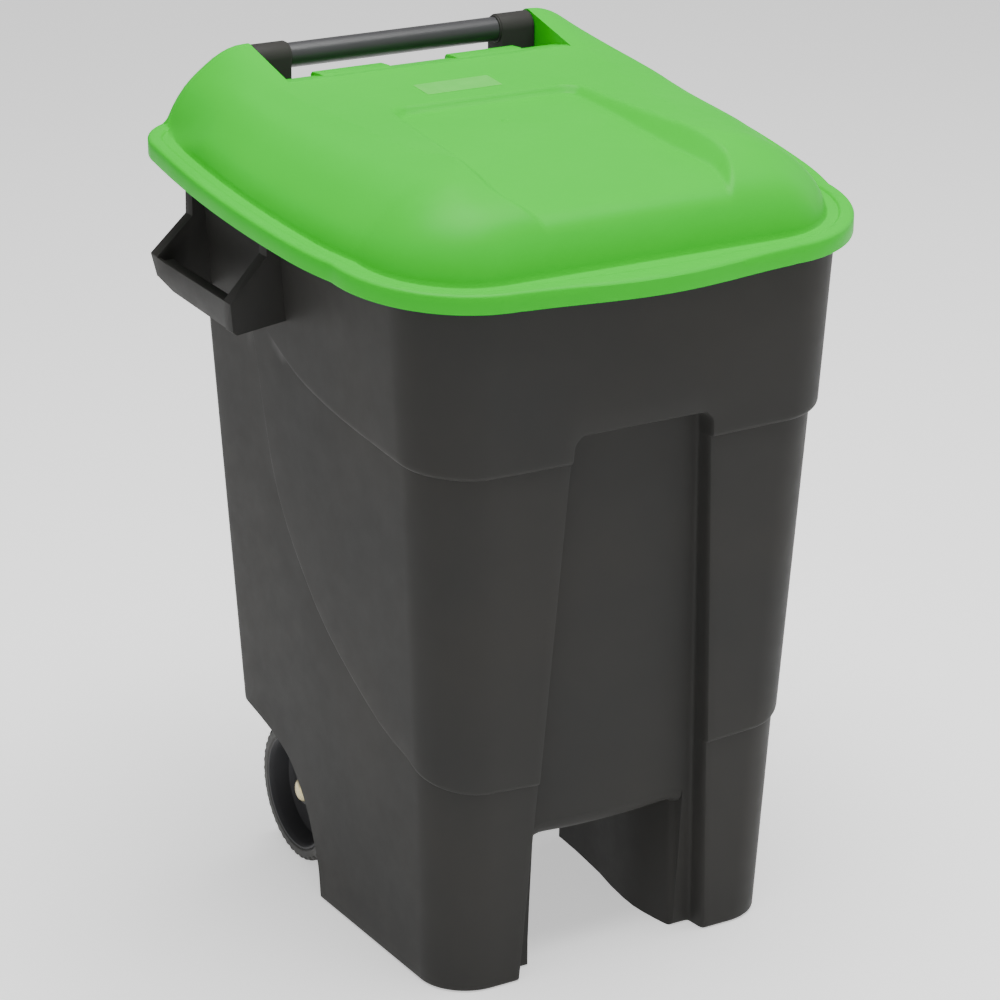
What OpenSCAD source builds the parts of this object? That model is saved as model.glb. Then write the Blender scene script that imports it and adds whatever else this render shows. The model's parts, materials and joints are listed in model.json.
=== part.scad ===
// Two-wheeled refuse bin with a domed lid that turns about the ends of its handle bar.
// +X right, -Y front, +Z up. The origin is on the ground, in the middle of the plan.
// Left is the -X side.

/* [Tub] */
// Half the tub's width at the ground
foot_half_w = 190.4; // [186:0.2:194]
// How far the tub's front wall stands in front of the origin at the ground
foot_front = 181; // [178:0.5:186]
// Depth of the tub behind the origin
tub_rear = 228; // [222:0.5:230]
// Height of the lower step that runs round the front
lower_step_z = 213; // [200:1:230]
// Height of the upper step that runs round the front
upper_step_z = 540; // [520:1:550]
// Thickness of the moulded walls
wall = 3.5; // [3:0.1:4]
// Underside of the tub between the legs
belly_z = 141; // [135:1:145]

/* [Front recess] */
// Half width of the recess at its top
recess_top_w = 75; // [60:1:80]
// Half width of the recess at the ground
recess_foot_w = 107.5; // [100:0.5:112]
// Height of the recess
recess_z = 567; // [550:1:590]
// Depth of the recess
recess_depth = 23.5; // [18:0.5:25]

/* [Handle and lid pivot] */
// Height of the handle bar's axis, which is the lid's pivot
bar_z = 835; // [832:0.5:837]
// Distance of the handle bar's axis behind the origin
bar_y = 250.7; // [250:0.1:252]
// Diameter of the handle bar
bar_d = 25; // [24:0.5:26]
// Inner face of each arm that holds the bar
arm_in = 121; // [115:1:125]
// Outer face of each arm that holds the bar
arm_out = 159.5; // [159:0.1:159.6]
// Diameter of the lid's pivot pins
pin_d = 12; // [10:0.5:13]

/* [Lid] */
// Half the lid's width at its widest
lid_half_w = 295; // [293:0.5:297]
// Slope of the lid's rim, rising to the rear
rim_tilt = 6.5; // [6.3:0.1:6.7]
// Height of the rim's lower edge at the lid's front
rim_front_z = 703.6; // [702:0.2:705]
// Height of the rim, from its lower edge to its flat top
rim_h = 18; // [17:0.5:19]
// Thickness of the lid
lid_wall = 3; // [2.5:0.1:3.4]

/* [Side handles] */
// Outer face of each side handle
grip_out = 290; // [286:1:290]
// Front end of each side handle
grip_front = 44; // [40:1:50]
// Rear end of each side handle
grip_rear = 212; // [205:1:215]
// Top of the side handle's bar
grip_top = 657; // [650:1:660]

/* [Wheels] */
// Diameter of each wheel
wheel_d = 149; // [145:1:152]
// Outer face of each wheel
wheel_out = 166; // [162:1:168]
// Width of each wheel
wheel_w = 42; // [38:1:44]
// Diameter of the axle
axle_d = 16; // [14:0.5:18]
// Distance of the axle behind the origin
axle_y = 176.6; // [175:0.1:178]

/* [Hidden] */
$fn = 64;
far = 900;          // longer than any side of the bin
eps = 0.01;
axle_z = wheel_d / 2;
run_gap = 0.05;     // radial gap of a running fit

// Tub sections: [height, half width, front, front corner radius]
foot = [0, foot_half_w, foot_front, 50];
below_lower = [lower_step_z, foot_half_w + 9.6, foot_front + 14.5, 56];
above_lower = [lower_step_z, foot_half_w + 12.4, foot_front + 17.5, 56];
below_upper = [upper_step_z, foot_half_w + 30.4, foot_front + 39, 65];
above_upper = [upper_step_z, foot_half_w + 36.9, foot_front + 43.5, 66];
tub_top = [790, foot_half_w + 51.6, foot_front + 58, 72];
rear_r = 18;

// Lid plan
lid_front = 264.7;          // front of the finger lip
lip_bulge = 15.7;           // how far the lip stands out of the front edge
corner_edge_x = 274;        // where the front corner meets the side
corner_r = 125;
wide_y = 76;                // where the lid is widest
side_bow = 0.000405;
lid_rear = 266;
lid_rear_r = 60;
ear_in = 160;               // inner face of the lid's pivot ears
panel_rear_y = 203;         // rear edge of the lid's middle part
panel_rear_z = 823;
flange_gap = 3;
swing_r = 75.5;             // reach of the lid's rear corners about the pivot

// Wheel arch, from the heel of the leg up to the tub's rear wall
arch_heel = 76;
arch_pts = [[arch_heel, -5], [74, 31], [76, 62], [84, 97], [98, 126], [121, 146], [166, 162], [260, 185]];

function arc(cx, cy, r, a0, a1, n = 8) =
    [for (i = [0:n]) let (a = a0 + (a1 - a0) * i / n) [cx + r * cos(a), cy + r * sin(a)]];

function both_sides(p) =
    concat(p, [for (i = [len(p) - 1:-1:0]) if (p[i][0] > eps) [-p[i][0], p[i][1]]]);

// Plan of the tub with half width w, front f and rear r, taken in by g
function tub_plan(w, f, r, rf, g = 0) = both_sides(concat(
    arc(w - rf, rf - f, rf - g, -90, 0),
    arc(w - rear_r, r - rear_r, rear_r - g, 0, 90, 5)));

function rim_z(y) = rim_front_z + (y + lid_front) * tan(rim_tilt);

function side_x(y) = lid_half_w - side_bow * (y - wide_y) * (y - wide_y);

// How far the lip stands out of the straight front edge at x
function lip(x) = lip_bulge * pow(cos(min(90, x * 90 / 175)), 2);

// Plan of the lid's rim, taken in by g, with the finger lip or with a straight front
function lid_plan(g = 0, rear = lid_rear, with_lip = true) =
    let (r = max(corner_r - g, 24))
    let (cx = corner_edge_x - g - r)
    let (cy = lip_bulge - lid_front + g + r)
    let (rear_r = max(lid_rear_r - g, 8))
    both_sides(concat(
        [for (i = [0:6]) let (x = i * cx / 6.5) [x, lip_bulge - lid_front + g - (with_lip ? lip(x) : 0)]],
        arc(cx, cy, r, -90, 0),
        [for (i = [1:7]) let (y = cy + i * (rear - lid_rear_r - cy) / 8) [side_x(y) - g, y]],
        arc(side_x(rear - lid_rear_r) - g - rear_r, rear - g - rear_r, rear_r, 0, 90, 5)));

module slab(points, z, h = eps) {
    translate([0, 0, z]) linear_extrude(h) polygon(points);
}

// Children are drawn on the lid's rim plane, with z = 0 at the rim's lower edge
module on_rim() {
    translate([0, -lid_front, rim_front_z])
        rotate([rim_tilt, 0, 0])
            translate([0, lid_front, 0]) children();
}

// An outline in Y and Z, extruded along X from x0 to x1
module side_prism(points, x0, x1) {
    translate([x0, 0, 0]) rotate([90, 0, 90]) linear_extrude(x1 - x0) polygon(points);
}

// An outline in X and Z, extruded along Y from y0 to y1
module front_prism(points, y0, y1) {
    translate([0, y1, 0]) rotate([90, 0, 0]) linear_extrude(y1 - y0) polygon(points);
}

module x_rod(d, x0, x1, y, z) {
    translate([x0, y, z]) rotate([0, 90, 0]) cylinder(h = x1 - x0, d = d);
}

module mirrored_pair() {
    children();
    mirror([1, 0, 0]) children();
}

// ---- Tub ----

module band(low, high, g = 0) {
    hull() {
        slab(tub_plan(low[1], low[2], tub_rear, low[3], g), low[0]);
        slab(tub_plan(high[1], high[2], tub_rear, high[3], g), high[0] - eps);
    }
}

// The stepped front, set back in the middle from the ground to recess_z
module recess(g = 0) {
    depth_y = -foot_front + recess_depth + g;
    lean = (above_upper[2] - foot_front) / upper_step_z;
    intersection() {
        front_prism([[-recess_foot_w - g, -5], [recess_foot_w + g, -5],
            [recess_top_w + g, recess_z - 12 + g], [recess_top_w - 12 + g, recess_z + g],
            [-recess_top_w + 12 - g, recess_z + g], [-recess_top_w - g, recess_z - 12 + g]], -far, far);
        side_prism([[-far, -5], [depth_y, -5], [depth_y, 0],
            [depth_y - lean * (recess_z + g), recess_z + g], [-far, recess_z + g]], -far, far);
    }
}

module arch_cut(g = 0) {
    side_prism(concat([for (p = arch_pts) [p[0] - g, p[1] + g]], [[260, -5]]), -far, far);
}

// Inner wall of each leg, in plan
leg_in = [[83, -far], [83, -157], [78, -140], [75, -100], [86, -22], [96, 66], [96, 130]];

module leg_gap() {
    translate([0, 0, -5]) linear_extrude(belly_z + 5)
        polygon(concat([for (p = leg_in) p], [for (i = [len(leg_in) - 1:-1:0]) [-leg_in[i][0], leg_in[i][1]]]));
}

module leg_pocket() {
    intersection() {
        slab(tub_plan(foot[1], foot[2], arch_heel - wall, foot[3], wall + 1), 6, belly_z + 10);
        linear_extrude(far) polygon([[recess_foot_w + wall + 1, -far], [far, -far], [far, far],
            [100, far], [100, 40], [90, -22], [80, -100], [83, -140], [88, -151], [recess_foot_w + wall + 1, -151]]);
    }
}

module tub_hollow() {
    difference() {
        hull() {
            slab(tub_plan(below_lower[1] - 4, below_lower[2] - 4, tub_rear, below_lower[3], wall), belly_z + wall);
            slab(tub_plan(below_upper[1], below_upper[2], tub_rear, below_upper[3], wall), upper_step_z - wall);
            slab(tub_plan(tub_top[1], tub_top[2], tub_rear, tub_top[3], wall), tub_top[0]);
        }
        recess(wall);
        arch_cut(wall);
    }
}

// Everything above the tub's sloping rim
module above_rim(z) {
    side_prism([[-far, rim_z(-far) + z], [far, rim_z(far) + z], [far, 2 * far], [-far, 2 * far]], -far, far);
}

rim_top = 12;

// Lug under the rim, just behind each side grip, that holds a bag's edge
module bag_lug() {
    y = 204;
    side_prism([[y - 5, rim_z(y) + rim_top - 2], [y - 4, 742], [y - 1, 738], [y + 4, 740], [y + 5, rim_z(y) + rim_top - 2]],
        262, 270);
}

module tub_flange() {
    plan = lid_plan(lid_wall + flange_gap);
    difference() {
        on_rim() slab(plan, rim_top - 4, 4);
        // Rear corners stay clear of the lid as it turns
        mirrored_pair() linear_extrude(far) polygon([[far, 150], [276, 180], [236, tub_rear - 4], [236, far], [far, far]]);
        translate([-far, tub_rear - 3, 0]) cube([2 * far, far, far]);
    }
}

grip_outline = [[232, 632], [284, 626], [grip_out, grip_top], [250, grip_top + 42], [250, 745], [232, 745]];

module side_grip() {
    intersection() {
        union() {
            front_prism(grip_outline, grip_front, grip_front + 12);
            front_prism(grip_outline, grip_rear - 12, grip_rear);
            front_prism([[274, 627], [284, 626], [grip_out, grip_top], [280, grip_top]], grip_front, grip_rear);
        }
        side_prism([[0, 0], [far, 0], [far, rim_z(far) + rim_top - 2], [0, rim_z(0) + rim_top - 2]], 200, 300);
    }
}

module bar_arm() {
    r = 15;
    difference() {
        union() {
            side_prism([[tub_rear - 2, 600], [bar_y + 4, 680], [bar_y + r + 1, 720], [bar_y + r, bar_z],
                [bar_y - r, bar_z], [bar_y - 13.5, 765], [tub_rear - 2, 750]], arm_in, arm_out);
            x_rod(2 * r, arm_in, arm_out, bar_y, bar_z);
        }
        x_rod(bar_d, arm_in - 1, arm_out + 1, bar_y, bar_z);
    }
}

// Rib under the tub that carries the axle
module axle_rib() {
    x0 = 90;
    x1 = 108;
    r = 20;
    difference() {
        union() {
            side_prism([[70, 60], [axle_y, axle_z - r], [axle_y + r, axle_z], [axle_y + r + 8, 174],
                [axle_y - 20, 166], [100, 141], [60, 141], [60, 60]], x0, x1);
            x_rod(2 * r, x0, x1, axle_y, axle_z);
        }
        x_rod(axle_d, x0 - 1, x1 + 1, axle_y, axle_z);
    }
}

module tub() {
    color([0.25, 0.25, 0.25]) difference() {
        union() {
            difference() {
                union() {
                    band(foot, below_lower);
                    band(above_lower, below_upper);
                    band(above_upper, tub_top);
                }
                recess();
                arch_cut();
                leg_gap();
                above_rim(rim_top);
            }
            tub_flange();
            mirrored_pair() side_grip();
            mirrored_pair() bag_lug();
            mirrored_pair() bar_arm();
            mirrored_pair() axle_rib();
        }
        tub_hollow();
        mirrored_pair() leg_pocket();
        // Room for the lid's rear corners as they swing
        mirrored_pair() x_rod(2 * swing_r, ear_in + 2, 300, bar_y, bar_z);
    }
}

// ---- Lid ----

// Height of the dome's crown line at y
function crown_z(y) = 811 + (y - 12) * 0.0963;

module on_crown(drop) {
    translate([0, 12, crown_z(12) - drop])
        rotate([atan(0.0963), 0, 0])
            translate([0, -12, 0]) children();
}

module dome(g = 0) {
    hull() {
        on_rim() slab(lid_plan(24 + g, lid_rear - 11, false), g > 0 ? rim_h - lid_wall - 1 : rim_h - 1);
        on_crown(28 + g) slab(lid_plan(46 + g, lid_rear - 11, false), 0);
        on_crown(10 + g) slab(lid_plan(80 + g, lid_rear - 11, false), 0);
        on_crown(g) slab(lid_plan(130 + g, lid_rear + 49, false), -eps);
    }
}

// Shoulders that rise to the lid's pivot on both sides of the handle bar
module shoulders(g = 0) {
    r = 15.5 - g;
    hull() {
        on_rim() slab(lid_plan(24 + g, lid_rear + 20, false), g > 0 ? rim_h - lid_wall - 1 : rim_h - 1);
        front_prism([[-236 + g, 805 - g], [-200, 824 - g], [-160, 829.5 - g], [160, 829.5 - g], [200, 824 - g],
            [236 - g, 805 - g], [262 - g, 777], [-262 + g, 777]], 150, 160);
        front_prism([[-240 + g, 800 - g], [-228 + g, 821 - g], [-206, 839 - g], [206, 839 - g],
            [228 - g, 821 - g], [240 - g, 800 - g]], bar_y - 8, bar_y);
        x_rod(2 * r, -184, 184, bar_y, bar_z);
    }
}

// The space for the handle bar, its arms and the hand, between the lid's ears
module bar_notch(g = 0) {
    side_prism([[172 - g, 829.5 + (g > 0 ? -g : 0)], [panel_rear_y - g, panel_rear_z - g],
        [212 - g, rim_z(212) + rim_h - g], [234 + eps, rim_z(234) + rim_h - g], [234 + eps, 600],
        [far, 600], [far, far + 200], [172 - g, far + 200]], -ear_in - 2 * g, ear_in + 2 * g);
}

module panel_recess(g = 0) {
    depth = 9;
    difference() {
        translate([0, 0, 500]) linear_extrude(far) polygon([[-104 - g, 48 + g], [104 + g, 48 + g],
            [132 + g, -140], [118 + g, -190 - g], [-118 - g, -190 - g], [-132 - g, -140]]);
        side_prism([[-far, 0], [far, 0], [far, crown_z(far)], [48, crown_z(48) - 3 - g],
            [-190, crown_z(-190) - depth - g - 4], [-far, crown_z(-190) - depth - 30]], -far, far);
    }
}

hinge_tab_w = [37, 115];

module lid() {
    color([0.36, 0.74, 0.30]) difference() {
        union() {
            difference() {
                union() {
                    on_rim() slab(lid_plan(), 0, rim_h);
                    dome();
                    shoulders();
                }
                bar_notch();
                panel_recess();
                // Hollow under the rim
                difference() {
                    on_rim() slab(lid_plan(lid_wall), -1, rim_h - lid_wall + 1);
                    bar_notch(lid_wall);
                }
                on_rim() translate([-ear_in - 3, 190, -20]) cube([2 * ear_in + 6, far, rim_h - lid_wall + 20]);
                // Hollow under the dome
                difference() {
                    union() {
                        dome(lid_wall);
                        shoulders(lid_wall);
                    }
                    bar_notch(lid_wall);
                    panel_recess(lid_wall);
                }
            }
            // Two tabs on the rear edge
            mirrored_pair() side_prism([[196, 819], [197, 823.6], [panel_rear_y + 5, 822], [panel_rear_y + 5, 817],
                [200, 812]], hinge_tab_w[0], hinge_tab_w[1]);
        }
        mirrored_pair() x_rod(pin_d + 2 * run_gap, ear_in - 2, ear_in + 12, bar_y, bar_z);
    }
}

module lid_label() {
    color([0.55, 0.80, 0.50])
        on_crown(0) translate([-49, 91, 0.05]) cube([84, 30, 0.4]);
}

// ---- Handle bar and pivots ----

module handle_bar() {
    color([0.22, 0.22, 0.23]) difference() {
        x_rod(bar_d, -arm_out + 1, arm_out - 1, bar_y, bar_z);
        x_rod(bar_d - 4, -far, far, bar_y, bar_z);
    }
}

bush_len = 30;

module bar_bush() {
    color("dimgray") difference() {
        x_rod(bar_d - 4, arm_out - 1 - bush_len, arm_out - 1, bar_y, bar_z);
        x_rod(pin_d, 0, far, bar_y, bar_z);
    }
}

module pivot_pin() {
    color("gray") {
        x_rod(pin_d, arm_out - bush_len + 4, ear_in + 8, bar_y, bar_z);
        x_rod(pin_d + 8, ear_in + 7, ear_in + 10, bar_y, bar_z);
    }
}

// ---- Running gear ----

rib_out = 108;
washer_t = 2;
hub_in = wheel_out - wheel_w - 2;
hub_out = wheel_out - 12;
axle_end = hub_out + washer_t + 4;

module ring_on_axle(d, hole, x0, x1) {
    difference() {
        x_rod(d, x0, x1, axle_y, axle_z);
        x_rod(hole, x0 - 1, x1 + 1, axle_y, axle_z);
    }
}

module axle() {
    color("silver") x_rod(axle_d, -axle_end, axle_end, axle_y, axle_z);
}

module axle_spacer() {
    color("dimgray") ring_on_axle(24, axle_d, rib_out, hub_in - washer_t - 0.5);
}

module inner_washer() {
    color("silver") ring_on_axle(30, axle_d, hub_in - washer_t - 0.5, hub_in - 0.5);
}

module outer_washer() {
    color("dimgray") ring_on_axle(30, axle_d, hub_out + 0.4, hub_out + 0.4 + washer_t);
}

module axle_cap() {
    color("gold") translate([hub_out + 0.4 + washer_t, axle_y, axle_z]) rotate([0, 90, 0]) rotate_extrude()
        polygon([[axle_d / 2, 0], [12, 0], [12, 2], [10, 5], [6, 7], [0, 8], [0, axle_end - hub_out - 2.4],
            [axle_d / 2, axle_end - hub_out - 2.4]]);
}

rim_r = wheel_d / 2 - 10;

module wheel_rim() {
    color([0.2, 0.2, 0.21]) translate([0, axle_y, axle_z]) rotate([0, 90, 0]) rotate_extrude()
        polygon([[axle_d / 2 + run_gap, hub_in], [18, hub_in], [18, 136], [rim_r - 12, 138],
            [rim_r - 5, wheel_out - wheel_w + 1], [rim_r, wheel_out - wheel_w + 1], [rim_r, wheel_out - 1],
            [rim_r - 4, wheel_out - 1], [rim_r - 12, 143], [20, 142], [18, hub_out], [axle_d / 2 + run_gap, hub_out]]);
}

module tyre() {
    w0 = wheel_out - wheel_w;
    r = wheel_d / 2;
    color([0.15, 0.15, 0.15]) translate([0, axle_y, axle_z]) rotate([0, 90, 0]) rotate_extrude()
        polygon([[rim_r, w0 + 2], [rim_r + 5, w0], [r - 2, w0 + 2], [r, w0 + 5], [r, wheel_out - 5],
            [r - 2, wheel_out - 2], [rim_r + 5, wheel_out], [rim_r, wheel_out - 1]]);
}

module flip() {
    mirror([1, 0, 0]) children();
}

tub();
handle_bar();
flip() bar_bush();  // bar_bush_left
bar_bush();  // bar_bush_right
flip() pivot_pin();  // pivot_pin_left
pivot_pin();  // pivot_pin_right
lid();
lid_label();
axle();
flip() axle_spacer();  // axle_spacer_left
axle_spacer();  // axle_spacer_right
flip() inner_washer();  // inner_washer_left
inner_washer();  // inner_washer_right
flip() outer_washer();  // outer_washer_left
outer_washer();  // outer_washer_right
flip() axle_cap();  // axle_cap_left
axle_cap();  // axle_cap_right
flip() wheel_rim();  // wheel_rim_left
wheel_rim();  // wheel_rim_right
flip() tyre();  // tyre_left
tyre();  // tyre_right
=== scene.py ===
"""Looks of a two-wheeled refuse bin: a dark grey stepped tub, a green domed lid, a handle bar and two wheels.

Lengths are in millimetres until a mesh is made. +X right, -Y front, +Z up, z = 0 on the ground.
"""

import json
import math

import bmesh
import bpy
import numpy as np
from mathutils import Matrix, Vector
from mathutils.geometry import delaunay_2d_cdt


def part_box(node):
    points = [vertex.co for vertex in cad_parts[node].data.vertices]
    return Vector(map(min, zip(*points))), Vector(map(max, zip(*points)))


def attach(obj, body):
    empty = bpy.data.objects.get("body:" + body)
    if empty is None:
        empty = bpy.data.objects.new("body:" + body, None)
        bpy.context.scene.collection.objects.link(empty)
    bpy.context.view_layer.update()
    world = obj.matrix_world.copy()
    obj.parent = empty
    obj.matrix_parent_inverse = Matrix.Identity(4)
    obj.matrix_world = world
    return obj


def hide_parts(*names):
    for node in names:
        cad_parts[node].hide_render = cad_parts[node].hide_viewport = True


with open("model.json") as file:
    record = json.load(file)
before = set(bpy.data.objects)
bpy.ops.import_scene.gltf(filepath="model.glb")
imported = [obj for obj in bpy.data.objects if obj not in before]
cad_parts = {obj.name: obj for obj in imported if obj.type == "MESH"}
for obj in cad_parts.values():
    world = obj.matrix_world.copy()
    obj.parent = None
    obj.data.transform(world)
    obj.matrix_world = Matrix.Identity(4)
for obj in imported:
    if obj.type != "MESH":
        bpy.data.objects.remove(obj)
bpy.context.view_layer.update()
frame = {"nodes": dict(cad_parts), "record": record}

MM = 0.001


def node_box(name):
    low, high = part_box(name)
    return np.array(low) / MM, np.array(high) / MM


# ---- Sizes ----

BAR_LOW, BAR_HIGH = node_box("handle_bar")
BAR_Y = (BAR_LOW[1] + BAR_HIGH[1]) / 2      # the bar's axis, which is the lid's pivot
BAR_Z = (BAR_LOW[2] + BAR_HIGH[2]) / 2
AXLE_LOW, AXLE_HIGH = node_box("axle")
AXLE_Y = (AXLE_LOW[1] + AXLE_HIGH[1]) / 2
AXLE_Z = (AXLE_LOW[2] + AXLE_HIGH[2]) / 2
TYRE_LOW, TYRE_HIGH = node_box("tyre_right")
WHEEL_R = (TYRE_HIGH[2] - TYRE_LOW[2]) / 2
LID_LOW, LID_HIGH = node_box("lid")

WALL = 3.5
TUB_REAR = 228
TUB_REAR_R = 18
FOOT_FRONT = 181                # distance of the front wall at the ground
RECESS_DEPTH = 23.5             # the tall recess in the tub's front
RECESS_Z = 567
RECESS_TOP_W = 75               # its half width at the top and at the ground
RECESS_FOOT_W = 107.5
RECESS_CORNER = 12
BELLY_Z = 138                   # underside of the tub between the legs
BELLY_ROUND = 18                # round of the recess panel's lower edge
BELLY_FRONT = -151

RIM_TILT = math.tan(math.radians(6.5))      # the rim climbs to the rear
RIM_H = 18
LID_WALL = 3
LID_FRONT = -LID_LOW[1]
RIM_FRONT_Z = LID_LOW[2]
LID_REAR = LID_HIGH[1]
LIP = 15.7                      # how far the front lip stands out
LID_CORNER_X = 274
LID_CORNER_R = 125
LID_REAR_R = 60
EAR_IN = 160                    # inner face of the ears beside the bar's arms
DOME_INSET = 26                 # from the rim's edge to the dome's base


def rim_z(y):
    """Height of the lid rim's lower edge at y."""
    return RIM_FRONT_Z + (y + LID_FRONT) * RIM_TILT


# ---- Curves and mesh helpers ----

def curve(points, at):
    """A smooth curve through points that doesn't overshoot them."""
    x, y = (np.array(column, float) for column in zip(*points))
    h = np.diff(x)
    slope = np.diff(y) / h
    m = np.zeros_like(x)
    m[0], m[-1] = slope[0], slope[-1]
    same = slope[:-1] * slope[1:] > 0
    w1, w2 = 2 * h[1:] + h[:-1], h[1:] + 2 * h[:-1]
    safe = np.where(same[:, None], np.stack([slope[:-1], slope[1:]], 1), 1)
    m[1:-1] = np.where(same, (w1 + w2) / (w1 / safe[:, 0] + w2 / safe[:, 1]), 0)
    at = np.clip(np.asarray(at, float), x[0], x[-1])
    i = np.clip(np.searchsorted(x, at, side="right") - 1, 0, len(h) - 1)
    t = (at - x[i]) / h[i]
    return (y[i] * (1 + 2 * t) * (1 - t) ** 2 + m[i] * h[i] * t * (1 - t) ** 2
            + y[i + 1] * t * t * (3 - 2 * t) + m[i + 1] * h[i] * t * t * (t - 1))


def smooth_max(a, b, k):
    """The larger of a and b, rounded over a width of k where they meet."""
    h = np.clip(k - np.abs(a - b), 0, None) / k
    return np.maximum(a, b) + h * h * k / 4


def new_object(name, verts, faces):
    """A mesh object from points in millimetres."""
    mesh = bpy.data.meshes.new(name)
    mesh.from_pydata((np.asarray(verts, float) * MM).tolist(), [], faces)
    obj = bpy.data.objects.new(name, mesh)
    bpy.context.scene.collection.objects.link(obj)
    return obj


def ring_solid(name, rings):
    """A closed solid from a stack of closed rings of equal length, lowest first."""
    rings = np.asarray(rings, float)
    k, n, _ = rings.shape
    faces = [[r * n + i, r * n + (i + 1) % n, (r + 1) * n + (i + 1) % n, (r + 1) * n + i]
             for r in range(k - 1) for i in range(n)]
    faces.append([i for i in range(n - 1, -1, -1)])
    faces.append([(k - 1) * n + i for i in range(n)])
    return new_object(name, rings.reshape(-1, 3), faces)


def prism(name, outline, low, high, axis="x"):
    """A closed solid: an outline in the other two axes, extruded from low to high along x or y."""
    n = len(outline)
    verts = [(c, a, b) if axis == "x" else (a, c, b) for c in (low, high) for a, b in outline]
    faces = [[i, (i + 1) % n, n + (i + 1) % n, n + i] for i in range(n)]
    faces += [list(range(n - 1, -1, -1)), list(range(n, 2 * n))]
    obj = new_object(name, verts, faces)
    outward(obj)
    return obj


def outward(obj):
    """Turns the faces of a closed solid outward."""
    bm = bmesh.new()
    bm.from_mesh(obj.data)
    bmesh.ops.recalc_face_normals(bm, faces=bm.faces)
    bm.to_mesh(obj.data)
    bm.free()


def apply_modifiers(obj):
    graph = bpy.context.evaluated_depsgraph_get()
    mesh = bpy.data.meshes.new_from_object(obj.evaluated_get(graph))
    obj.modifiers.clear()
    old = obj.data
    obj.data = mesh
    bpy.data.meshes.remove(old)


def boolean(obj, other, operation):
    """obj with other taken away, added or kept. other is used up."""
    modifier = obj.modifiers.new("cut", "BOOLEAN")
    modifier.operation = operation
    modifier.solver = "MANIFOLD"
    modifier.object = other
    apply_modifiers(obj)
    bpy.data.objects.remove(other)


def bevel(obj, width, segments=3, angle=30):
    """Rounds the edges that are sharper than angle."""
    modifier = obj.modifiers.new("round", "BEVEL")
    modifier.width = width * MM
    modifier.segments = segments
    modifier.limit_method = "ANGLE"
    modifier.angle_limit = math.radians(angle)
    apply_modifiers(obj)


def join(objects, name):
    """One object from several."""
    bm = bmesh.new()
    for o in objects:
        bm.from_mesh(o.data)
    mesh = bpy.data.meshes.new(name)
    bm.to_mesh(mesh)
    bm.free()
    for o in objects:
        bpy.data.objects.remove(o)
    obj = bpy.data.objects.new(name, mesh)
    bpy.context.scene.collection.objects.link(obj)
    return obj


def mirrored(obj, name):
    """A copy of obj on the other side of the bin."""
    mesh = obj.data.copy()
    co = np.zeros(len(mesh.vertices) * 3)
    mesh.vertices.foreach_get("co", co)
    co[0::3] *= -1
    mesh.vertices.foreach_set("co", co)
    mesh.flip_normals()
    copy = bpy.data.objects.new(name, mesh)
    bpy.context.scene.collection.objects.link(copy)
    return copy


def smooth(obj, angle=32):
    """Smooth shading, apart from edges sharper than angle."""
    obj.data.shade_smooth()
    obj.data.set_sharp_from_angle(angle=math.radians(angle))


def lathe(name, profile, y, z, n=96, radius=None):
    """A closed solid turned about an axis along X. profile: (radius, x), anticlockwise and closed."""
    rings = []
    for i in range(n):
        a = 2 * math.pi * i / n
        rings.append([(x, y + (radius(r, x, a) if radius else r) * math.cos(a),
                       z + (radius(r, x, a) if radius else r) * math.sin(a)) for r, x in profile])
    m = len(profile)
    verts = [p for ring in rings for p in ring]
    faces = [[i * m + j, i * m + (j + 1) % m, (i + 1) % n * m + (j + 1) % m, (i + 1) % n * m + j]
             for i in range(n) for j in range(m)]
    obj = new_object(name, verts, faces)
    outward(obj)
    return obj


# ---- Tub ----

# Heights of the two step lines at y. They are level at the front and sweep up along the sides
LOWER_LINE = [(-240, 213), (-228, 216), (-206, 221), (-188, 225), (-170, 229.5), (-155, 234.5), (-128, 241),
              (-93, 251.5), (-41, 280.5), (18, 325), (60, 377), (88, 425), (102, 466), (112, 540), (117, 590),
              (125, 612), (240, 616)]
UPPER_LINE = [(-240, 540), (-228, 541), (-206, 543.5), (-176, 546.5), (-155, 549), (-128, 552), (-51, 561),
              (23, 578), (78, 606), (110, 628), (125, 640), (240, 642)]
STEP_ROWS = [0, 0.15, 0.5, 1.1, 2.0, 3.3, 5.0]
STEP_R = 5.0
# Section across the recess's edge: distance outside the edge, and share of the recess's depth
RECESS_EDGE = [(-14, 1), (-10, 0.999), (-7, 0.995), (-4.8, 0.985), (-3.2, 0.965), (-2.3, 0.93), (-1.8, 0.86),
               (-1.4, 0.72), (-1.0, 0.48), (-0.6, 0.25), (0, 0.1), (1, 0.025), (3, 0)]
FOOT_ROUND = 4


def side_main(z):
    """Half width of the tub's side behind the step lines."""
    return 189.9 + 0.0672 * z


def band_front(z):
    """Distance of the front wall in the lower, middle and upper band."""
    return [181 + 0.0689 * z, 198.6 + 0.0656 * (z - 212), 224.5 + 0.0594 * (z - 540)]


def band_half_width(z, y):
    """Half width in the three bands. They stand in from the side's main plane near the front."""
    front = [190.4 + 0.0453 * z, 202.8 + 0.055 * (z - 212), 227.3 + 0.0588 * (z - 540)]
    fade = [curve([(-150, 1), (-60, 0.6), (20, 0.18), (70, 0), (240, 0)], y),
            curve([(-150, 1), (-60, 0.58), (20, 0.16), (60, 0.06), (90, 0), (240, 0)], y),
            curve([(-150, 1), (50, 0), (240, 0)], y)]
    main = side_main(z)
    bands = [main + f * (w - main) for f, w in zip(fade, front)]
    # The lower band sinks a little just behind its line, so the line shows right up under the grip
    behind = y - np.interp(z, [h for _, h in LOWER_LINE], [at for at, _ in LOWER_LINE])
    sink = np.interp(z, [250, 300, 560, 622], [0, 0.9, 0.9, 0])
    sink = sink * np.interp(y, [-60, 0, 180, 210], [0, 1, 1, 0])
    bands[0] -= float(sink * math.exp(-(max(behind, 0) / 34) ** 2))
    return bands


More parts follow.
